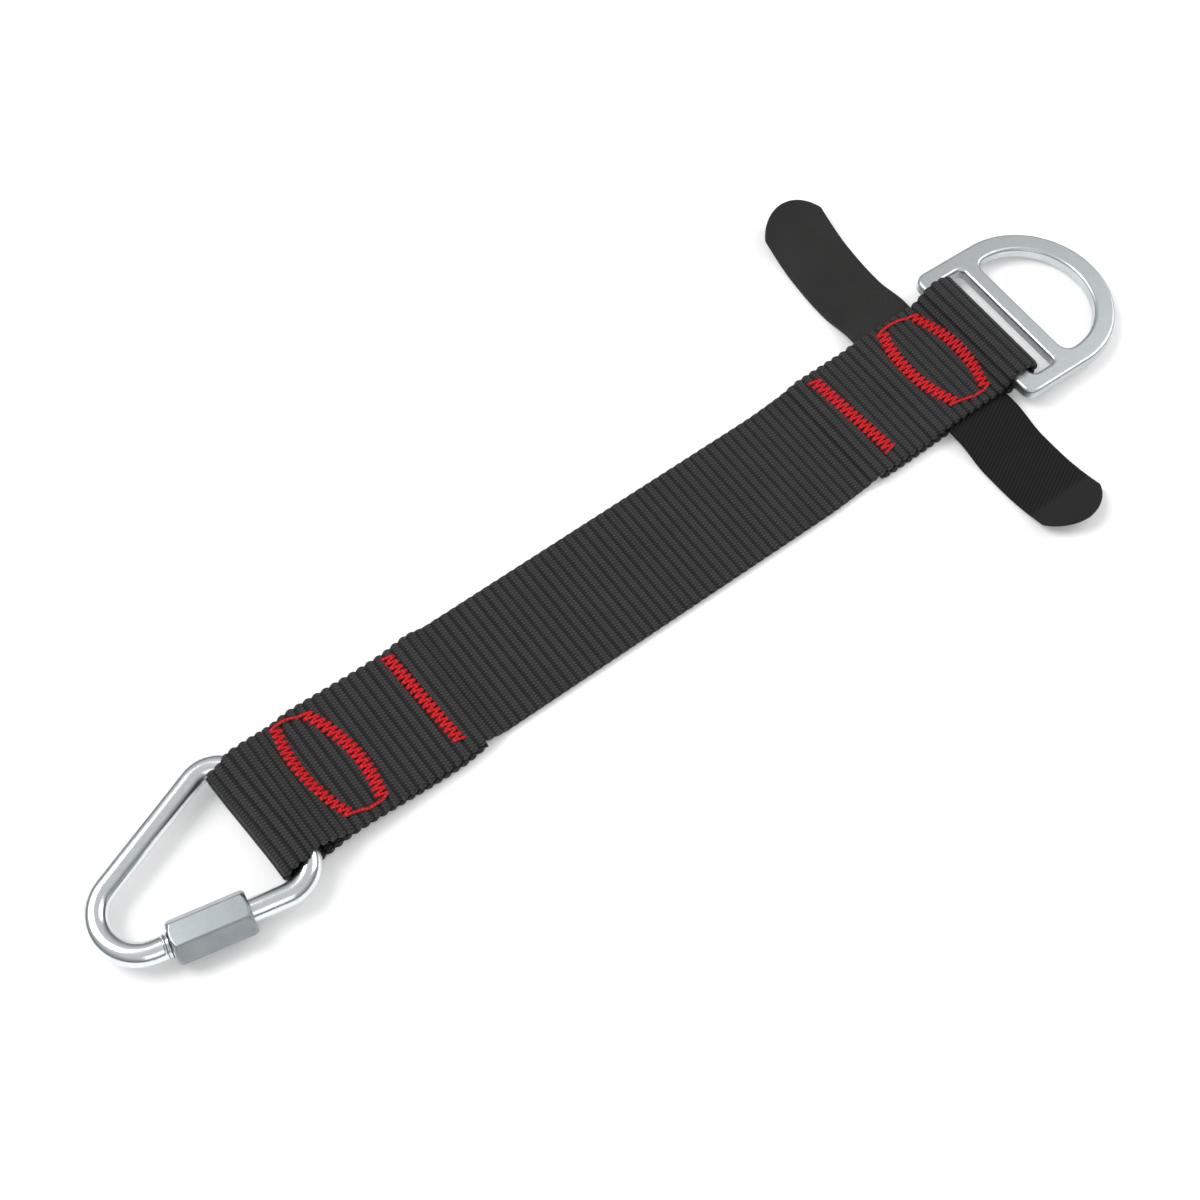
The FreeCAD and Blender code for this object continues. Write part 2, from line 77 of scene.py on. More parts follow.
# %% [markdown]
# ## Building surfaces from whole arrays
# Webbing, tape, thread and rod are all one idea: a closed section carried along a line. It could be
# done with curve objects and bevels, but then ribs and scallops would have to be added afterwards.
# A grid of points, stations along the line by points round the section, keeps every ripple in one formula.

# %% Grid surfaces
def smooth(t):
    """0 below 0, 1 above 1, and 3t^2 - 2t^3 between."""
    t = np.clip(t, 0.0, 1.0)
    return t * t * (3 - 2 * t)


def mesh_from_grid(name, points, uv, wrap_stations=False):
    """points is stations x around x 3, closed around the section. uv is stations x (around + 1) x 2.

    Each pair of neighbouring stations is joined by a ring of quads, and a fan closes each open end.
    """
    stations, around = points.shape[:2]
    rows = np.arange(stations if wrap_stations else stations - 1)
    cols = np.arange(around)
    r, c = np.meshgrid(rows, cols, indexing="ij")
    r1, c1 = (r + 1) % stations, (c + 1) % around
    quads = np.stack([r * around + c, r * around + c1, r1 * around + c1, r1 * around + c], -1).reshape(-1, 4)
    quad_uv = np.stack([uv[r, c], uv[r, c + 1], uv[r1, c + 1], uv[r1, c]], 2).reshape(-1, 4, 2)
    vertices = points.reshape(-1, 3)
    faces = quads.tolist()
    loops_uv = [quad_uv.reshape(-1, 2)]
    if not wrap_stations:
        ends = np.stack([points[0].mean(0), points[-1].mean(0)])
        first, last = len(vertices), len(vertices) + 1
        vertices = np.concatenate([vertices, ends])
        base = (stations - 1) * around
        near = np.stack([np.full(around, first), (cols + 1) % around, cols], -1)
        far = np.stack([np.full(around, last), base + cols, base + (cols + 1) % around], -1)
        faces += near.tolist() + far.tolist()
        fan = np.zeros((around, 3, 2))
        fan[:, 0], fan[:, 1], fan[:, 2] = uv[0].mean(0), uv[0, 1:], uv[0, :-1]
        loops_uv.append(fan.reshape(-1, 2).copy())
        fan[:, 0], fan[:, 1], fan[:, 2] = uv[-1].mean(0), uv[-1, :-1], uv[-1, 1:]
        loops_uv.append(fan.reshape(-1, 2).copy())
    mesh = bpy.data.meshes.new(name)
    mesh.from_pydata(vertices.tolist(), [], faces)
    layer = mesh.uv_layers.new(name="along_and_across")
    layer.data.foreach_set("uv", np.concatenate(loops_uv).ravel())
    mesh.polygons.foreach_set("use_smooth", np.arange(len(mesh.polygons)) < len(quads))
    mesh.validate()
    mesh.update()
    piece = bpy.data.objects.new(name, mesh)
    bpy.context.scene.collection.objects.link(piece)
    return piece


def lengths_along(line):
    """Distance from the start of a polyline to each of its points."""
    return np.concatenate([[0.0], np.cumsum(np.linalg.norm(np.diff(line, axis=0), axis=1))])


def resampled(line, step):
    """The same polyline with points an even step apart."""
    s = lengths_along(line)
    count = max(2, int(round(s[-1] / step)) + 1)
    even = np.linspace(0, s[-1], count)
    return np.stack([np.interp(even, s, line[:, k]) for k in range(line.shape[1])], -1)


def softened(line, reach):
    """Each point averaged with its neighbours over reach points, ends kept: a stiff band can't kink."""
    kernel = np.hanning(2 * reach + 3)[1:-1]
    kernel /= kernel.sum()
    padded = np.pad(line, ((reach, reach), (0, 0)), mode="reflect", reflect_type="odd")
    return np.stack([np.convolve(padded[:, k], kernel, "valid") for k in range(line.shape[1])], -1)


print("grid tools ready: smooth, mesh_from_grid, lengths_along, resampled, softened")

# %% [markdown]
# ## A flat band's section
# Webbing and tape share one section, two flats joined by half circles. Four lists of points could be
# written out for each. One function gives shares from -1 to 1, which a band multiplies by its own sizes.

# %% Band section
def band_section(flat_points, edge_points):
    """Round the section once, one row for each point: share across, share through, share of the round edge.

    The flats run from -1 to 1 and back. The edges are (1, cos t, sin t) and (-1, -cos t, -sin t).
    """
    flat = np.linspace(-1, 1, flat_points)
    turn = np.linspace(0, math.pi, edge_points + 2)[1:-1]
    level, none, end = np.ones(flat_points), np.zeros(flat_points), np.ones(edge_points)
    top = np.stack([flat, level, none], -1)
    high_edge = np.stack([end, np.cos(turn), np.sin(turn)], -1)
    low_edge = np.stack([-end, -np.cos(turn), -np.sin(turn)], -1)
    return np.concatenate([top, high_edge, top * [-1, -1, 1], low_edge])


def band_mesh(name, points, s, across, backwards):
    """A mesh from a band's points. backwards turns the section round, so that the faces look outwards."""
    if backwards:
        points, across = points[:, ::-1], across[:, ::-1]
    across = np.concatenate([across, across[:, :1]], 1)
    uv = np.stack([np.broadcast_to(s[:, None], across.shape), across], -1)
    return mesh_from_grid(name, points, uv)


print("section with", len(band_section(4, 2)), "points for 4 on a flat and 2 on an edge")

# %% [markdown]
# ## Shader maths as Python
# A finish is a formula: rib times yarn, plus a little noise. Dragging nodes works, but a formula reads
# better, so a small class wraps a socket and lets Python's operators add the Math nodes.

# %% Expressions on sockets
class Number:
    """A number that changes over a surface. Arithmetic on it adds Math nodes."""

    def __init__(self, finish, socket):
        self.finish = finish
        self.socket = socket

    def math(self, operation, *others):
        """One Math node fed with this number and any others, in order."""
        return self.finish.node("ShaderNodeMath", {"operation": operation}, dict(enumerate((self, *others))))

    def __add__(self, other):
        return self.math("ADD", other)

    __radd__ = __add__

    def __mul__(self, other):
        return self.math("MULTIPLY", other)

    __rmul__ = __mul__

    def __sub__(self, other):
        return self.math("SUBTRACT", other)

    def __rsub__(self, other):
        return self.finish.node("ShaderNodeMath", {"operation": "SUBTRACT"}, {0: other, 1: self})

    def __truediv__(self, other):
        return self.math("DIVIDE", other)

    def __pow__(self, other):
        return self.math("POWER", other)

    def sin(self):
        return self.math("SINE")

    def abs(self):
        return self.math("ABSOLUTE")

    def fraction(self):
        return self.math("FRACT")

    def floor(self):
        return self.math("FLOOR")

    def between(self, low, high):
        """0 at low, 1 at high, held outside them and eased between."""
        settings = {"interpolation_type": "SMOOTHSTEP", "clamp": True}
        values = {"Value": self, "From Min": low, "From Max": high, "To Min": 0.0, "To Max": 1.0}
        return self.finish.node("ShaderNodeMapRange", settings, values)


class Finish:
    """A material and the few calls that build it."""

    def __init__(self, name):
        self.material = bpy.data.materials.new(name)
        self.material.use_nodes = True
        self.tree = self.material.node_tree
        self.shader = self.tree.nodes["Principled BSDF"]

    def node(self, kind, settings=None, values=None, output=0):
        """Adds a node: its settings first, then its sockets' values or links. Returns one output."""
        made = self.tree.nodes.new(kind)
        for key, value in (settings or {}).items():
            setattr(made, key, value)
        for key, value in (values or {}).items():
            self.put(made.inputs[key], value)
        return Number(self, made.outputs[output])

    def put(self, socket, value):
        """Links a Number to a socket, or sets a plain value on it."""
        if isinstance(value, Number):
            self.tree.links.new(value.socket, socket)
        else:
            socket.default_value = value

    def surface(self, **values):
        """Sets the shader's sockets, such as base_color=... or roughness=..."""
        for key, value in values.items():
            self.put(self.shader.inputs[key.replace("_", " ").title().replace("Ior", "IOR")], value)
        return self.material

    def uv(self):
        """Distance along the piece and across it, in metres, from its own map."""
        place = self.node("ShaderNodeUVMap", {"uv_map": "along_and_across"})
        parts = self.tree.nodes.new("ShaderNodeSeparateXYZ")
        self.tree.links.new(place.socket, parts.inputs[0])
        return Number(self, parts.outputs[0]), Number(self, parts.outputs[1]), place

    def place(self):
        """Where a point of the surface is, in the object's own metres."""
        return self.node("ShaderNodeTexCoord", None, None, "Object")

    def noise(self, where, scale, detail=3.0, roughness=0.55):
        """Cloudy noise about 0.5; scale is lumps per metre, detail adds finer octaves."""
        values = {"Vector": where, "Scale": scale, "Detail": detail, "Roughness": roughness}
        return self.node("ShaderNodeTexNoise", None, values)

    def stretched(self, where, scale):
        """A place multiplied along each axis, so that noise turns into streaks."""
        return self.node("ShaderNodeVectorMath", {"operation": "MULTIPLY"}, {0: where, 1: scale})

    def mix(self, share, dark, light):
        """dark where share is 0, light where it is 1."""
        values = {"Factor": share, 6: dark, 7: light}
        return self.node("ShaderNodeMix", {"data_type": "RGBA"}, values, 2)

    def bump(self, height, depth):
        """A normal from a height: depth is how far in metres the height 1 stands above 0."""
        return self.node("ShaderNodeBump", None, {"Height": height, "Distance": depth, "Strength": 1.0})


print("shader maths ready: Number and Finish")

# %% [markdown]
# ## The camera
# The camera comes early, because every later choice is judged through it. It stands a good half metre
# away, high over the strap's side, with a longish lens. A constraint could aim it, but three axes worked
# out from an elevation, a side angle and a roll say exactly where it looks.

# %% Camera
TARGET = Vector((-0.0221, -0.00255, 0.0))
CAMERA_DISTANCE = 0.6743
CAMERA_ELEVATION = math.radians(62.06)
CAMERA_SIDE = math.radians(37.77)
CAMERA_ROLL = math.radians(1.10)
right = Vector((math.cos(CAMERA_SIDE), -math.sin(CAMERA_SIDE), 0))
level_back = Vector((-math.sin(CAMERA_SIDE), -math.cos(CAMERA_SIDE), 0))
back = level_back * math.cos(CAMERA_ELEVATION) + Vector((0, 0, 1)) * math.sin(CAMERA_ELEVATION)
up = back.cross(right)
rolled_right = right * math.cos(CAMERA_ROLL) + up * math.sin(CAMERA_ROLL)
rolled_up = up * math.cos(CAMERA_ROLL) - right * math.sin(CAMERA_ROLL)
camera_data = bpy.data.cameras.new("camera")
camera_data.sensor_width = 36.0
camera_data.lens = 60.47
camera = bpy.data.objects.new("camera", camera_data)
axes = Matrix((rolled_right, rolled_up, back)).transposed().to_4x4()
camera.matrix_world = Matrix.Translation(TARGET + back * CAMERA_DISTANCE) @ axes
bpy.context.scene.collection.objects.link(camera)
bpy.context.scene.camera = camera
print("camera lens", camera_data.lens, "mm at", CAMERA_DISTANCE, "m")

# %% [markdown]
# ## The floor
# A catalogue object lies on white. One pale matt square does it, lifted by a little glow of its own so
# that shadows stay faint. It sits a hair under the strap, so that the two never share a plane.

# %% Floor
scene = bpy.context.scene
scene.view_settings.view_transform = "Standard"
FLOOR = 3.0
FLOOR_DROP = 0.3 * MM
corners = [(-FLOOR, -FLOOR, 0), (FLOOR, -FLOOR, 0), (FLOOR, FLOOR, 0), (-FLOOR, FLOOR, 0)]
floor_mesh = bpy.data.meshes.new("floor")
floor_mesh.from_pydata(corners, [], [(0, 1, 2, 3)])
floor = bpy.data.objects.new("floor", floor_mesh)
floor.location.z = -FLOOR_DROP
scene.collection.objects.link(floor)
floor_finish = Finish("pale_floor")
floor_paint = floor_finish.surface(base_color=(0.93, 0.93, 0.93, 1), roughness=0.9, emission_strength=0.15)
floor_finish.put(floor_finish.shader.inputs["Emission Color"], (1, 1, 1, 1))
floor_mesh.materials.append(floor_paint)
print("floor", 2 * FLOOR, "m square")

# %% [markdown]
# ## Sky and lamps
# Metal shows what stands round it, so the sky matters more than the lamps. It is white overhead and dark
# at the horizon, which draws the dark streaks along the rod. Three soft lamps then model the webbing.

# %% Sky and lamps
HORIZON = (0.10, 0.105, 0.11, 1)
OVERHEAD = (1, 1, 1, 1)
SKY_STRENGTH = 0.62
world = bpy.data.worlds.new("studio")
scene.world = world
world.use_nodes = True
sky = world.node_tree
coordinate = sky.nodes.new("ShaderNodeTexCoord")
split = sky.nodes.new("ShaderNodeSeparateXYZ")
ramp = sky.nodes.new("ShaderNodeValToRGB")
sky.links.new(coordinate.outputs["Generated"], split.inputs[0])
sky.links.new(split.outputs["Z"], ramp.inputs[0])
sky.links.new(ramp.outputs[0], sky.nodes["Background"].inputs[0])
for stop, (height, color) in zip(ramp.color_ramp.elements, ((0.02, HORIZON), (0.75, OVERHEAD))):
    stop.position, stop.color = height, color
sky.nodes["Background"].inputs[1].default_value = SKY_STRENGTH


def area_light(name, place, size, power):
    """A square soft light that looks at the strap's middle."""
    data = bpy.data.lights.new(name, "AREA")
    data.size = size
    data.energy = power
    lamp = bpy.data.objects.new(name, data)
    lamp.location = place
    lamp.rotation_euler = (Vector((0, 0, 0)) - Vector(place)).to_track_quat("-Z", "Y").to_euler()
    scene.collection.objects.link(lamp)


area_light("key_light", (-0.78, 0.88, 1.5), 1.1, 22.0)
area_light("side_light", (1.2, -0.2, 0.9), 0.8, 6.0)
area_light("front_light", (-0.6, -1.3, 1.0), 0.9, 2.5)
print("sky and three soft lamps")

# %% [markdown]
# ## Black ribbed webbing
# Heavy webbing is woven with thick weft cords, so it shows round ribs across its width, about three
# and a half millimetres apart, each wrapped in fine yarn. The ribs are real shape here. The yarn is too
# fine for that, so the finish draws it on the piece's own map, as small staggered bumps.

# %% Webbing finish
RIB = 3.4 * MM
YARN = 1.15 * MM


def webbing_finish():
    """Black polyester: painted shade in the grooves, staggered yarn bumps and a faint dusty sheen."""
    finish = Finish("black_ribbed_webbing")
    along, across, where = finish.uv()
    rib = (along * (math.pi / RIB)).sin().abs()
    row = (along * (2 / RIB)).floor()
    cell = (across / YARN + row * 0.5 + finish.noise(where, 260.0, 1.0) * 0.5).fraction()
    lump = ((cell * math.pi).sin() * (along * (2 * math.pi / RIB)).sin().abs()) ** 1.3
    fuzz = finish.noise(where, 3000.0, 2.0)
    cloud = finish.noise(where, 60.0, 2.0)
    # rib lightens each rib's crest and darkens its grooves in the colour: painted shade laid over the ribs'
    # real shape
    light = rib ** 1.5 * 0.5 + lump * 0.75 + fuzz * 0.4 + cloud * 0.2 - 0.45
    color = finish.mix(light.between(-0.05, 0.95), (0.0025, 0.0025, 0.0025, 1), (0.042, 0.042, 0.043, 1))
    height = lump * 0.9 + fuzz * 0.3
    return finish.surface(
        base_color=color,
        roughness=0.6,
        specular_ior_level=0.3,
        sheen_weight=0.03,
        sheen_roughness=0.5,
        normal=finish.bump(height, 0.0003),
    )


WEBBING = webbing_finish()
print("made", WEBBING.name)

# %% [markdown]
# ## One layer of webbing, folded
# The strap lies flat, climbs onto its own returned tail, goes round a metal bar and comes back. Cloth
# simulation could find that shape, but it would move each time. Here the strap's line is drawn once in
# the plane of the fold, as eased steps, and softened so that it never kinks.

# %% The strap's line
HALF = PLY / 2
TAPE_Z = TAB_HINGE.z
TAPE_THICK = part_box("loop_tape_root")[1].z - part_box("loop_tape_root")[0].z
TAPE_LOW_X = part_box("loop_tape_root")[0].x
TAPE_GAP = 0.1 * MM
RING_TAIL_X = 84.5 * MM
LINK_TAIL_X = -83.2 * MM
CLIMB_BEFORE = 8 * MM
CLIMB_LENGTH = 8.5 * MM
TAPE_CLIMB_LENGTH = 7 * MM
RING_TOP_END = 138.5 * MM
LINK_TOP_END = -149 * MM
RING_RISE_ANGLE = math.radians(50)
RING_FOLD_SLACK = 2.0 * MM
LINK_FOLD_SLACK = 2.6 * MM
LINK_END_RISE = 2.2 * MM
TOP_POINTS = 400
TAIL_POINTS = 200


def wrap_line(bar_x, bar_z, radius, rise_angle):
    """Points round a bar, clockwise from where the climbing layer touches the circle to its lowest point."""
    turn = np.linspace(math.pi / 2 + rise_angle, -math.pi / 2, 60)
    return np.stack([bar_x + radius * np.cos(turn), bar_z + radius * np.sin(turn)], -1)


def strap_line_ring():
    """From the strap's middle to the tail end under the ring end, as x and z."""
    x = np.linspace(0, RING_TOP_END, TOP_POINTS)
    z = HALF + PLY * smooth((x - RING_TAIL_X + CLIMB_BEFORE) / CLIMB_LENGTH)
    z = z + (TAPE_THICK + TAPE_GAP) * smooth((x - TAPE_LOW_X + CLIMB_BEFORE) / TAPE_CLIMB_LENGTH)
    radius = RING_BAR.z - HALF
    loop = wrap_line(RING_BAR.x, RING_BAR.z, radius, RING_RISE_ANGLE)
    loop[:, 0] += RING_FOLD_SLACK * smooth((loop[:, 0] - RING_BAR.x) / radius)
    back_x = np.linspace(RING_BAR.x - MM, RING_TAIL_X, TAIL_POINTS)
    tail = np.stack([back_x, np.full(TAIL_POINTS, HALF)], -1)
    return np.concatenate([np.stack([x, z], -1), loop, tail])


def end_rise(x):
    """The rod holds the sewn link end off the ground: eased up from 98 mm to 134 mm from the middle."""
    return LINK_END_RISE * smooth((-98 * MM - x) / (36 * MM))


def tail_rise(x):
    """The same rise for the lower layer, which comes down again towards the bar, from 135 to 146 mm."""
    return end_rise(x) * (1 - smooth((-135 * MM - x) / (11 * MM)))


def strap_line_link():
    """From the strap's middle to the tail end under the link end, as x and z."""
    radius = LINK_BAR.z - HALF
    top = LINK_BAR.z + radius
    x = np.linspace(0, LINK_TOP_END, TOP_POINTS)
    z = HALF + PLY * smooth((LINK_TAIL_X + CLIMB_BEFORE - x) / CLIMB_LENGTH) + end_rise(x)
    z = z + (top - HALF - PLY - LINK_END_RISE) * smooth((-133 * MM - x) / (16 * MM))
    fold_centre = LINK_END_FOLD_X + HALF + radius
    loop = wrap_line(-fold_centre, LINK_BAR.z, radius, 0.0)
    loop[:, 0] += LINK_FOLD_SLACK * smooth((loop[:, 0] + fold_centre) / radius)
    loop[:, 0] *= -1
    over = np.stack([np.linspace(LINK_TOP_END - 0.5 * MM, fold_centre + MM, 12), np.full(12, top)], -1)
    back_x = np.linspace(fold_centre + MM, LINK_TAIL_X, TAIL_POINTS)
    tail = np.stack([back_x, HALF + tail_rise(back_x)], -1)
    return np.concatenate([np.stack([x, z], -1), over, loop, tail])


LINES = {"ring": strap_line_ring(), "link": strap_line_link()}
for end, line in LINES.items():
    print("line to the", end, "end:", round(lengths_along(line)[-1] / MM), "mm")

# %% [markdown]
# ## Ribs and selvedge
# A ripple could come from a displacement modifier. It is put straight into the grid instead: each station
# knows how far along the cloth it is, so it knows where on a rib it is, and the thickness and the scalloped
# edge follow from that one number. The edges also stray and draw in, as the laid strap does.

# %% Ribbed band
STATIONS_PER_RIB = 10
FLAT_POINTS = 40
EDGE_POINTS = 7
LINE_REACH = 9
GROOVE_DEPTH = 0.55 * MM
SEWN_FROM = 75 * MM
TAIL_SHIFT = 0.7 * MM
FOLD_FROM = -146 * MM
FOLD_WIDER = 1.3 * MM
FOLD_SKEW = 1.9 * MM


def sideways(x):
    """How far the laid strap's middle line strays in Y: 0.8 mm at the ring end, -1.2 mm at the link end."""
    return 0.8 * MM * smooth((x - 60 * MM) / (20 * MM)) - 1.2 * MM * smooth((-80 * MM - x) / (15 * MM))


def webbing_piece(name, line, narrow=None):
    """A ribbed band along line. narrow gives, for each station, how far the +Y edge is drawn in.

    Half thickness = crest minus groove depth times (1 - |sin(pi s / rib)|^0.9), and each rib also
    swells the edge a little, most at the sewn ends, which gives the scalloped selvedge. The length s
    starts half a rib in, so that the two halves of the strap meet on top of a rib and not in a groove.
    """
    line = softened(resampled(line, RIB / STATIONS_PER_RIB), LINE_REACH)
    line[0, 0] = 0.0
    line_x, line_z = line[:, :1], line[:, 1:]
    to_ring = line[-1, 0] > 0
    s = lengths_along(line) + RIB / 2
    tangent = np.gradient(line, axis=0)
    tangent /= np.linalg.norm(tangent, axis=1)[:, None]
    lift = np.stack([-tangent[:, 1], tangent[:, 0]], -1) * (1 if to_ring else -1)
    crest = (np.abs(np.sin(math.pi * s / RIB)) ** 0.9)[:, None]
    half = HALF - GROOVE_DEPTH * (1 - crest)
    swell = (0.2 + 0.5 * smooth((np.abs(line_x) - SEWN_FROM) / (12 * MM))) * MM
    reach = STRAP_WIDTH / 2 - half + swell * (crest - 0.6)
    aside = sideways(line_x) - TAIL_SHIFT * smooth((s - s[-1] + 50 * MM) / (45 * MM))[:, None]
    fold = smooth((FOLD_FROM - line_x) / (8 * MM))
    low_y, high_y = aside - reach - FOLD_WIDER * fold, aside + reach
    if narrow is not None:
        high_y = high_y - narrow(line_x)
    section = band_section(FLAT_POINTS, EDGE_POINTS)
    y = (low_y + high_y) / 2 + (high_y - low_y) / 2 * section[:, 0] + half * section[:, 2]
    x = line_x + lift[:, :1] * half * section[:, 1] + FOLD_SKEW * fold * smooth((20 * MM - y) / (46 * MM))
    z = line_z + lift[:, 1:] * half * section[:, 1]
    piece = band_mesh(name, np.stack([x, y, z], -1), s, y, backwards=to_ring)
    piece.data.materials.append(WEBBING)
    print(name, len(piece.data.polygons), "faces,", round((s[-1] - s[0]) / MM), "mm of webbing")
    return piece


print("ribs", round(RIB / MM, 1), "mm apart,", STATIONS_PER_RIB, "stations each")

# %% [markdown]
# ## The strap in two halves
# A piece may bend between two bodies only, and the strap bends at two places. So it is made as two halves
# that meet on top of a rib in the middle, where nothing moves.

# %% Strap halves
BLEND_REACH = 10 * MM


def drawn_in_by_link(x):
    """The link's bent corner pushes the +Y edge in: 3.7 mm on the way up to the fold, 5.5 mm round it."""
    return 3.7 * MM * smooth((-128 * MM - x) / (22 * MM)) + 1.8 * MM * smooth((-152 * MM - x) / (7 * MM))


near, far = FOLD_X - BLEND_REACH, FOLD_X + BLEND_REACH
ring_half = webbing_piece("webbing_ring_half", LINES["ring"])
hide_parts("webbing_middle", "webbing_ring_end")
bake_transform(ring_half)
link_half = webbing_piece("webbing_link_half", LINES["link"], drawn_in_by_link)
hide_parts("webbing_link_end")
-near
-far
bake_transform(link_half)

# %% [markdown]
# ## Red thread
# Bonded sewing thread is three strands twisted together. They are too fine to be worth a mesh, so slanting
# grooves on the thread's own map stand for them, under a little fuzz.

# %% Thread finish
THREAD_R = 0.54 * MM
TWIST = 1.1 * MM


def thread_finish():
    """Bonded red thread: three twisted strands drawn as slanting grooves on the thread's own map."""
    finish = Finish("red_thread")
    along, around, _ = finish.uv()
    strand = (along * (2 * math.pi / TWIST) + around * (1 / THREAD_R)).sin()
    fuzz = finish.noise(finish.place(), 2600.0, 2.0)
    share = strand * 0.22 + fuzz * 0.5 + 0.15
    color = finish.mix(share.between(0.0, 0.9), (0.36, 0.001, 0.004, 1), (0.80, 0.006, 0.014, 1))
    return finish.surface(
        base_color=color,
        roughness=0.5,
        specular_ior_level=0.3,
        sheen_weight=0.04,
        sheen_roughness=0.4,
        normal=finish.bump(strand * 0.5 + fuzz * 0.4, 0.00012),
    )


THREAD = thread_finish()
print("made", THREAD.name)

# %% [markdown]
# ## Lock-stitch
# Each end is sewn with two zigzag seams, a straight bar and an oval. A texture of red lines would look
# flat, so each seam is a real thread: a fine tube that swings from side to side and dips at each hole.
# The lower, or bobbin, thread runs under the tail in the same holes.

# %% Thread along needle holes
LINE_STEP = 0.3 * MM
THREAD_SUNK = 0.38 * MM
THREAD_ARCH = 0.62 * MM
BOBBIN_HEIGHT = 0.72 * MM
BOBBIN_ARCH = 0.17 * MM
POINTS_PER_LEG = 7
PITCH = 2.2 * MM
SURFACE_LINES = {end: softened(resampled(line, LINE_STEP), LINE_REACH) for end, line in LINES.items()}


def tube(name, line, radius, sides=10):
    """A round tube along a line of points. radius is one number, or stations x sides."""
    tangent = np.gradient(line, axis=0)
    tangent /= np.linalg.norm(tangent, axis=1)[:, None]
    side = np.cross(tangent, np.array([0.0, 0.0, 1.0]))
    side /= np.maximum(np.linalg.norm(side, axis=1), 1e-9)[:, None]
    lift = np.cross(side, tangent)
    turn = np.linspace(0, 2 * math.pi, sides + 1)
    ring = side[:, None] * np.cos(turn)[None, :-1, None] + lift[:, None] * np.sin(turn)[None, :-1, None]
    r = radius[..., None] if np.ndim(radius) == 2 else radius
    points = line[:, None] + ring * r
    s = lengths_along(line)
    uv = np.stack(np.broadcast_arrays(s[:, None], (turn * np.mean(radius))[None, :]), -1)
    return mesh_from_grid(name, points, uv)


def top_height(end, x):
    """Height of the top layer's upper face over x, at one end of the strap."""
    line = SURFACE_LINES[end]
    sign = 1 if end == "ring" else -1
    stop = int(np.argmax(line[:, 1]))
    return np.interp(sign * x, sign * line[:stop, 0], line[:stop, 1]) + HALF


def stitched(end, corners, upper, name):
    """A thread through needle holes at corners (x, y), in smooth swings, dipping at every hole.

    Between two holes the thread runs straight and stands at its highest in the middle, as |sin|^0.5.
    """
    t = np.arange((len(corners) - 1) * POINTS_PER_LEG + 1) / POINTS_PER_LEG
    holes = np.arange(len(corners))
    xy = softened(np.stack([np.interp(t, holes, corners[:, k]) for k in range(2)], -1), 1)
    arch = np.abs(np.sin(math.pi * t)) ** 0.5
    if upper:
        z = top_height(end, xy[:, 0]) - THREAD_SUNK + THREAD_ARCH * arch
    else:
        z = tail_rise(xy[:, 0]) + BOBBIN_HEIGHT - BOBBIN_ARCH * arch
    piece = tube(name, np.concatenate([xy, z[:, None]], 1), THREAD_R)
    piece.data.materials.append(THREAD)
    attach(piece, "strap_ring_end" if end == "ring" else "strap_link_end")
    return piece


print("thread tools ready, zigzag pitch", round(PITCH / MM, 1), "mm")

# %% [markdown]
# ## Four seams
# A seam is a list of needle holes. The bar seams lie nearly square across the strap. An oval is two bowed
# zigzags and the plain stitches that join them. Holes for a whole seam come from one formula, so a change
# of pitch keeps its shape.

# %% Seams
TIP_STITCH = 1.3 * MM


def zigzag(middle, low, high, swing):
    """Needle holes from high to low in Y, half a pitch apart, swinging along X about middle(y)."""
    count = int(round((high - low) / PITCH * 2))
    y = np.linspace(high, low, count + 1)
    return np.stack([middle(y) + swing * np.where(np.arange(count + 1) % 2, 1, -1), y], -1)


def oval_seam(near, far, low, high, swings):
    """Two bowed zigzags, x = x0 + bow (y - y0)^2 each, joined at both tips by plain stitches.

    The needle swings only along the strap, so at the tips the zigzag closes to a single line.
    """
    down, back = (
        zigzag(lambda y: x0 + bow * (y - y0) ** 2, low, high, swing)
        for (x0, y0, bow), swing in zip((near, far), swings)
    )
    back = back[::-1]
    share = np.array([[0.3], [0.7]])
    foot = down[-1] * (1 - share) + back[0] * share - np.array([0, TIP_STITCH])
    head = back[-1] * (1 - share) + down[0] * share + np.array([0, TIP_STITCH])
    return np.concatenate([down, foot, back, head, down[:1]])


ring_bar_seam = zigzag(lambda y: 90.9 * MM - 0.09 * y, -17.6 * MM, 20.2 * MM, 2.7 * MM)
link_bar_seam = zigzag(lambda y: -91.2 * MM - 0.055 * y, -18.9 * MM, 19.8 * MM, 2.35 * MM)
ring_oval_seam = oval_seam(
    near=(117.8 * MM, 4 * MM, 11.0),
    far=(138.4 * MM, 0, -10.0),
    low=-17.5 * MM,
    high=20.5 * MM,
    swings=(2.7 * MM, 2.35 * MM),
)
link_oval_seam = oval_seam(
    near=(-137.6 * MM, 4 * MM, 9.0),
    far=(-119.3 * MM, -7 * MM, -10.0),
    low=-20.5 * MM,
    high=18 * MM,
    swings=(2.2 * MM, 2.6 * MM),
)
SEAMS = (
    ("bar_stitch_ring_end", "ring", ring_bar_seam),
    ("bar_stitch_link_end", "link", link_bar_seam),
    ("oval_stitch_ring_end", "ring", ring_oval_seam),
    ("oval_stitch_link_end", "link", link_oval_seam),
)
for seam, end, corners in SEAMS:
    for layer, upper in (("needle", True), ("bobbin", False)):
        thread = stitched(end, corners, upper, seam + "_" + layer)
        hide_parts(seam + "_" + layer + "_thread")
print(len(SEAMS), "seams, a needle and a bobbin thread each")

# %% [markdown]
# ## Two faces of hook-and-loop tape
# The keeper shows the smooth woven back of its loop half and the hooked face of the other. Real hooks
# would be thousands of tiny meshes. Rows of bumps on the tape's own map read the same at arm's length.

# %% Tape finishes
WEAVE = 0.9 * MM
HOOK_ROW = 1.35 * MM
HOOK_PEG = 0.85 * MM


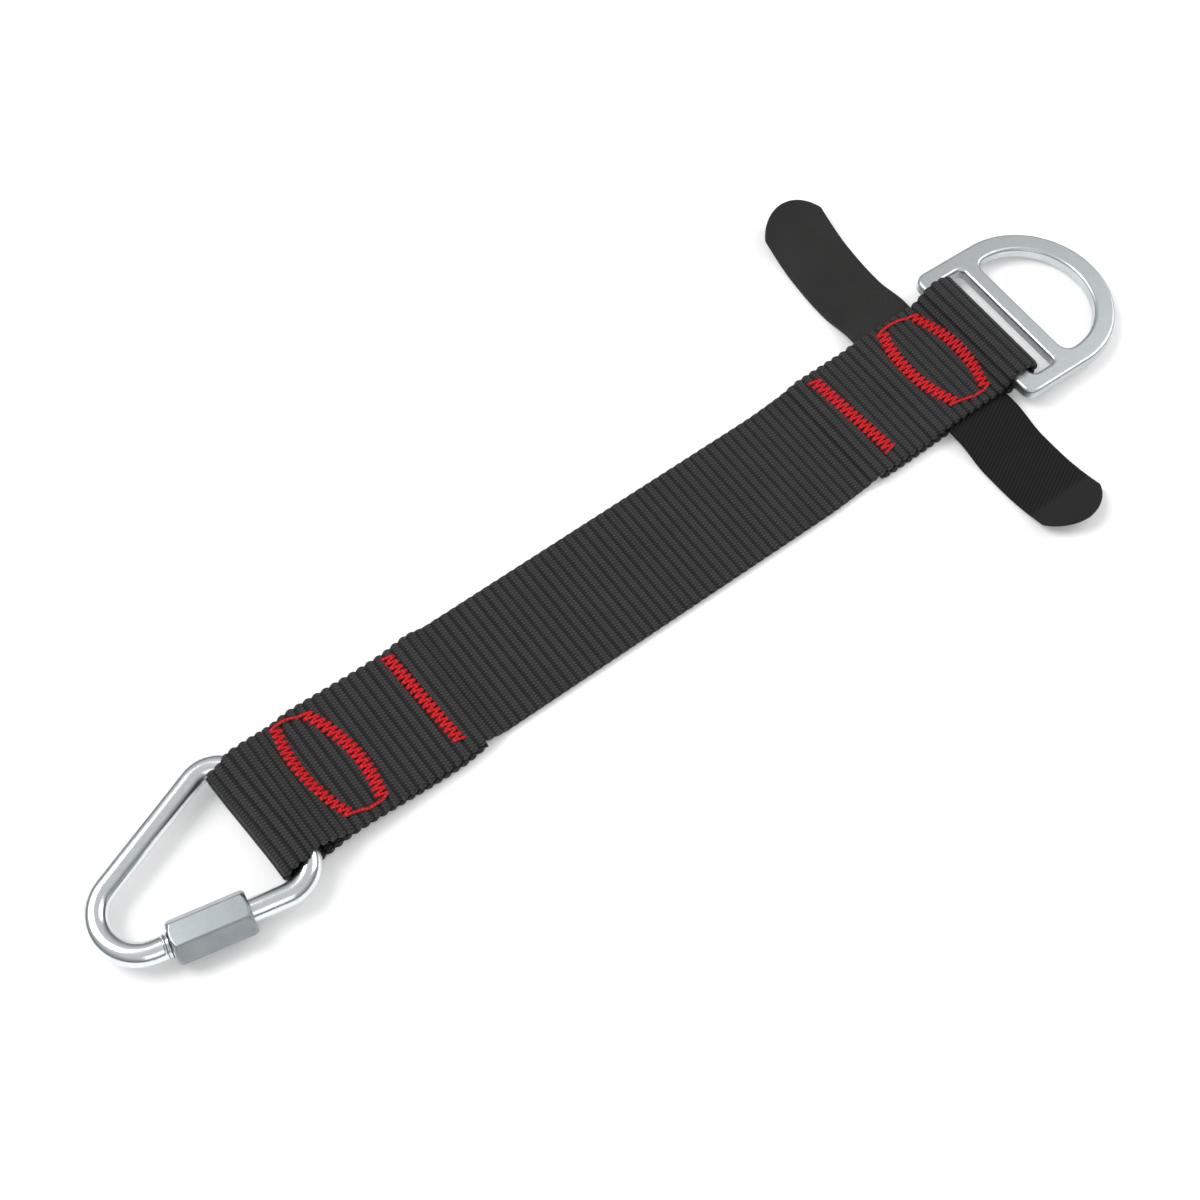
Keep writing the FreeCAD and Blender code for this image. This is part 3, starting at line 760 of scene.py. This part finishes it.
def loop_finish():
    """The smooth woven back of the loop half: a very fine plain weave, almost matt."""
    finish = Finish("loop_tape_back")
    along, across, where = finish.uv()
    weave = (along * (2 * math.pi / WEAVE)).sin() * (across * (2 * math.pi / WEAVE)).sin()
    fuzz = finish.noise(where, 3000.0, 2.0)
    cloud = finish.noise(where, 45.0, 3.0)
    tone = fuzz * 0.35 + cloud * 0.4 + weave * 0.3
    color = finish.mix(tone.between(-0.1, 0.9), (0.0055, 0.0053, 0.005, 1), (0.026, 0.025, 0.024, 1))
    return finish.surface(
        base_color=color,
        roughness=0.62,
        specular_ior_level=0.3,
        sheen_weight=0.03,
        sheen_roughness=0.4,
        normal=finish.bump(weave * 0.5 + fuzz * 0.4, 0.00008),
    )


def hook_finish():
    """The hook half: slanting rows of tiny hooks, which stop a thumb's breadth before the tip."""
    finish = Finish("hook_tape_face")
    along, across, where = finish.uv()
    row = (along * (1 / HOOK_ROW) + across * (1 / (2.6 * MM))).fraction()
    peg = (across * (1 / HOOK_PEG) - along * (1 / (2.2 * MM))).fraction()
    hooks = (row * math.pi).sin() ** 1.5 * (peg * math.pi).sin() ** 1.2
    plain = along.between(0.064, 0.0665)
    fuzz = finish.noise(where, 3400.0, 2.0)
    rough_part = hooks * (1 - plain)
    tone = rough_part * 0.75 + plain * 0.45 + fuzz * 0.3
    color = finish.mix(tone.between(0.05, 1.0), (0.002, 0.002, 0.002, 1), (0.024, 0.024, 0.0245, 1))
    return finish.surface(
        base_color=color,
        roughness=0.7,
        specular_ior_level=0.2,
        normal=finish.bump(rough_part + fuzz * 0.25, 0.00026),
    )


LOOP_BACK = loop_finish()
HOOK_FACE = hook_finish()
print("made", LOOP_BACK.name, "and", HOOK_FACE.name)

# %% [markdown]
# ## Hook-and-loop keeper
# The keeper is sewn in across the strap. Its free halves ease down to the ground and their round tips lift
# again. Each half is one thin band whose width closes in a circle at the tip, and it bends where it leaves
# the strap. Cutting the tip with a boolean would be quicker, but it would spoil the map.

# %% Tapes
TAPE_HALF = TAPE_THICK / 2 - 0.05 * MM
TIP_R = 15.5 * MM
TIP_FINE = 3 * MM
CURL_LENGTH = 26 * MM
TAPE_POINTS = 34


def keeper_tape(name, side, end_y, lift, half_width, sway, finish):
    """A band from the strap's middle to its round tip, along Y on one side of the strap.

    Height: level, an eased step down, level, then a parabola up. Half width: constant, then
    sqrt(R^2 - d^2) over the tip, d being the distance past the tip circle's centre. Sway is how far
    the tape lies to one side near the strap and at its tip.
    """
    hinge = abs(TAB_HINGE.y)
    last = np.cos(np.linspace(0, 1, 26)[1:] * math.pi / 2)
    y = np.concatenate([np.linspace(0.2 * MM, end_y - TIP_FINE, 190), end_y - TIP_FINE * last])
    drop = smooth((y - hinge - 3 * MM) / (15 * MM))
    curl = np.clip((y - end_y + CURL_LENGTH) / CURL_LENGTH, 0, 1) ** 2
    z = TAPE_Z + (TAPE_HALF + 0.1 * MM - TAPE_Z) * drop + lift * curl
    past = np.clip(y - (end_y - TIP_R), 0, TIP_R * 0.9999)
    width = np.minimum(half_width, np.sqrt(TIP_R ** 2 - past ** 2))
    centre = TAB_HINGE.x + sway[0] + (sway[1] - sway[0]) * smooth((y - 45 * MM) / (35 * MM))
    slope = np.gradient(z, y)
    length = np.sqrt(1 + slope ** 2)
    inner = np.maximum(width - TAPE_HALF, 0.05 * MM)
    section = band_section(TAPE_POINTS, 3)
    x = centre[:, None] + inner[:, None] * section[:, 0] + TAPE_HALF * section[:, 2]
    up_z = z[:, None] + TAPE_HALF * section[:, 1] / length[:, None]
    up_y = y[:, None] - TAPE_HALF * section[:, 1] * (slope / length)[:, None]
    s = lengths_along(np.stack([y, z], -1))
    points = np.stack([x, side * up_y, up_z], -1)
    tape = band_mesh(name, points, s, x - TAB_HINGE.x, backwards=side < 0)
    tape.data.materials.append(finish)
    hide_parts(name + "_root", name + "_tab")
    bend_from = (TAB_HINGE.x, side * (hinge - MM), 0)
    bend_to = (TAB_HINGE.x, side * (hinge + 4 * MM), 0)
    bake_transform(tape)
    print(name, round(float(s[-1]) / MM), "mm from the strap's middle to the tip")


loop_low, loop_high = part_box("loop_tape_tab")
hook_low, hook_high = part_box("hook_tape_tab")
keeper_tape(
    "loop_tape",
    side=1,
    end_y=loop_high.y,
    lift=loop_high.z - 2 * MM,
    half_width=13.3 * MM,
    sway=(-1.9 * MM, 0.4 * MM),
    finish=LOOP_BACK,
)
keeper_tape(
    "hook_tape",
    side=-1,
    end_y=0.7 * MM - hook_low.y,
    lift=hook_high.z - 2 * MM,
    half_width=13.5 * MM,
    sway=(0.8 * MM, 1.8 * MM),
    finish=HOOK_FACE,
)

# %% [markdown]
# ## Zinc-plated steel
# Zinc has a cool, slightly green-grey shine. The stamped ring is satin from tumbling, the bent rod is
# bright, and the turned sleeve shows fine lines round it. All three share one recipe with other numbers.

# %% Zinc finishes
def zinc_finish(name, color, low, high, streaks):
    """Metal whose roughness drifts between low and high, with fine streaks along one direction."""
    finish = Finish(name)
    where = finish.place()
    cloud = finish.noise(where, 140.0, 4.0)
    grain = finish.noise(finish.stretched(where, streaks), 1.0, 3.0, 0.7)
    speck = finish.noise(where, 2200.0, 2.0)
    dull = (cloud * 0.6 + grain * 0.4).between(0.3, 0.72)
    dark = tuple(0.86 * c for c in color[:3]) + (1,)
    return finish.surface(
        base_color=finish.mix(dull, color, dark),
        metallic=1.0,
        roughness=dull * (high - low) + low,
        normal=finish.bump(grain * 0.5 + speck * 0.5, 0.00002),
    )


ring_zinc = zinc_finish("satin_zinc", (0.65, 0.70, 0.705, 1), 0.30, 0.42, (900, 900, 900))
rod_zinc = zinc_finish("bright_zinc", (0.84, 0.885, 0.89, 1), 0.14, 0.25, (300, 1500, 1500))
# The sleeve gets a far darker zinc colour than the ring and the rod: painted shade, which dims the lamps its
# flats mirror
sleeve_zinc = zinc_finish("turned_zinc", (0.32, 0.35, 0.365, 1), 0.28, 0.36, (2600, 500, 500))
ring_node = frame["nodes"]["d_ring"]
ring_node.data.materials.clear()
ring_node.data.materials.append(ring_zinc)
print("zinc on", ring_node.name)

# %% [markdown]
# ## The quick link's outline
# The link is one rod bent to a triangle with its mouth in one leg. A spline could be dragged into shape,
# but a bender makes arcs and straights, each tangent to the next, so the path is built the same way from
# three radii and two distances.

# %% Quick link outline
ROD_R = (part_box("quick_link_rod")[1].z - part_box("quick_link_rod")[0].z) / 2
BAR_HALF = 15.4 * MM
CORNER_R = 10.3 * MM
END_R = 13.9 * MM
END_DISTANCE = 49.8 * MM
SLEEVE_START = 4.9 * MM
SLEEVE_TRAVEL = JOINTS["sleeve_travel"]["range_m"][1]
STUB = SLEEVE_START + 3.4 * MM
THREAD_PITCH = 1.25 * MM
run = END_DISTANCE - CORNER_R
SLOPE = math.atan2(BAR_HALF, run) - math.asin((END_R - CORNER_R) / math.hypot(run, BAR_HALF))


def arc(centre, radius, start, stop):
    """Points along a circular arc, about a third of a millimetre apart."""
    turn = np.linspace(start, stop, max(8, int(abs(stop - start) * radius / (0.35 * MM))))
    return np.stack([centre[0] + radius * np.cos(turn), centre[1] + radius * np.sin(turn)], -1)


def on_link(points):
    """From the link's own frame, bar along Y through the origin, to its place in the fold."""
    cos, sin = LINK_AXIS.y, -LINK_AXIS.x
    x = LINK_BAR.x + points[..., 0] * cos - points[..., 1] * sin
    y = LINK_BAR.y + points[..., 0] * sin + points[..., 1] * cos
    return np.stack([x, y, LINK_BAR.z + points[..., 2]], -1)


def rod_path():
    """From the mouth's lip by the wide end, round the link, to the threaded stub's tip."""
    turn = math.pi / 2 + SLOPE
    leg_foot = np.array([-END_DISTANCE - END_R * math.sin(SLOPE), -END_R * math.cos(SLOPE)])
    leg = np.array([math.cos(SLOPE), -math.sin(SLOPE)])
    lip = leg_foot + leg * (SLEEVE_START + SLEEVE_TRAVEL)
    stub = leg_foot + leg * STUB
    line = np.concatenate([
        lip[None],
        arc((-CORNER_R, -BAR_HALF), CORNER_R, -turn, 0),
        arc((-CORNER_R, BAR_HALF), CORNER_R, 0, turn),
        arc((-END_DISTANCE, 0), END_R, turn, 2 * math.pi - turn),
        stub[None],
    ])
    flat = resampled(line, 0.14 * MM)
    return np.concatenate([flat, np.zeros((len(flat), 1))], 1)


print("link outline", round(lengths_along(rod_path())[-1] / MM), "mm round, rod", round(2 * ROD_R / MM, 1))

# %% [markdown]
# ## The rod
# The rod is a plain tube along that path. Its short end is threaded, and a little of the thread shows as
# rings beside the nut, so there the tube's radius follows a helix instead of staying constant.

# %% Rod
def quick_link_rod():
    """The rod as a tube. Over the stub, radius = R - depth (1 + cos(2 pi s / pitch + angle)) / 2."""
    sides = 36
    path = rod_path()
    s = lengths_along(path)
    from_tip = s[-1] - s
    angle = np.linspace(0, 2 * math.pi, sides + 1)[:-1]
    ridge = (1 + np.cos(2 * math.pi * from_tip[:, None] / THREAD_PITCH + angle)) / 2
    threaded = smooth((STUB - 1.9 * MM - from_tip) / (0.5 * MM))
    proud = smooth((from_tip - STUB + SLEEVE_START + 0.1 * MM) / (0.2 * MM))
    edge = 0.5 * MM * (smooth(1 - s / (0.6 * MM)) + smooth(1 - from_tip / (0.6 * MM)))
    radius = ROD_R + threaded[:, None] * (0.32 * MM * proud[:, None] - 0.4 * MM * ridge) - edge[:, None]
    rod = tube("rod", on_link(path), radius, sides)
    rod.data.materials.append(rod_zinc)
    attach(rod, "quick_link")
    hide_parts("quick_link_rod")
    print("rod", round(s[-1] / MM), "mm long,", len(rod.data.polygons), "faces")


quick_link_rod()

# %% [markdown]
# ## The sleeve nut
# The nut is hexagon bar, turned down at both ends and bored. Bevels on a six-sided prism would do, but a
# formula for the hexagon with softened corners, cut off by a cone, gives the same curved chamfer lines
# that a lathe leaves on real hexagon bar.

# %% Sleeve nut
SLEEVE_LENGTH = 25.5 * MM
ACROSS_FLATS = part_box("quick_link_sleeve")[1].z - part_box("quick_link_sleeve")[0].z


def sleeve_nut():
    """A hexagon bar, turned down at both ends and bored.

    Across the hexagon, radius = a / (sum |cos(angle - 60k)|^p)^(1/p), a flat hexagon with soft corners.
    At the ends a cone limits it, so radius = the smaller of the two.
    """
    angle = np.linspace(0, 2 * math.pi, 241)[:-1]
    sides = np.abs(np.cos(angle[:, None] - np.radians([30, 90, 150])))
    hexagon = ACROSS_FLATS / 2 / (sides ** 90).sum(1) ** (1 / 90)
    corner = ACROSS_FLATS / math.sqrt(3)
    inset = np.array([0.0, 0.12, 0.3, 0.6, 0.9, 1.2, 1.5]) * MM
    cone = ACROSS_FLATS / 2 - 0.35 * MM + inset * 1.1
    straight = np.linspace(1.8 * MM, SLEEVE_LENGTH - 1.8 * MM, 24)
    along = np.concatenate([inset, straight, SLEEVE_LENGTH - inset[::-1]])
    limit = np.concatenate([cone, np.full(len(straight), corner * 2), cone[::-1]])
    outer = np.minimum(hexagon[None], limit[:, None])
    outer[[0, -1]] -= 0.12 * MM
    bore = np.full((3, len(angle)), ROD_R + 0.05 * MM)
    radius = np.concatenate([outer, bore])
    station = np.concatenate([along, [SLEEVE_LENGTH, SLEEVE_LENGTH / 2, 0]])
    foot = np.array([-END_DISTANCE - END_R * math.sin(SLOPE), -END_R * math.cos(SLOPE), 0])
    axis = np.array([math.cos(SLOPE), -math.sin(SLOPE), 0])
    side = np.array([math.sin(SLOPE), math.cos(SLOPE), 0])
    middle = foot + axis * (SLEEVE_START + station[:, None])
    round_it = side * np.cos(angle)[:, None] + np.array([0, 0, 1.0]) * np.sin(angle)[:, None]
    points = on_link(middle[:, None] + radius[..., None] * round_it[None])
    uv = np.stack(np.broadcast_arrays(station[:, None], np.linspace(0, 0.04, len(angle) + 1)[None]), -1)
    nut = mesh_from_grid("sleeve_nut", points, uv, wrap_stations=True)
    nut.data.materials.append(sleeve_zinc)
    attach(nut, "link_sleeve")
    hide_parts("quick_link_sleeve")
    print("sleeve nut", round(ACROSS_FLATS / MM, 1), "mm across flats")


sleeve_nut()
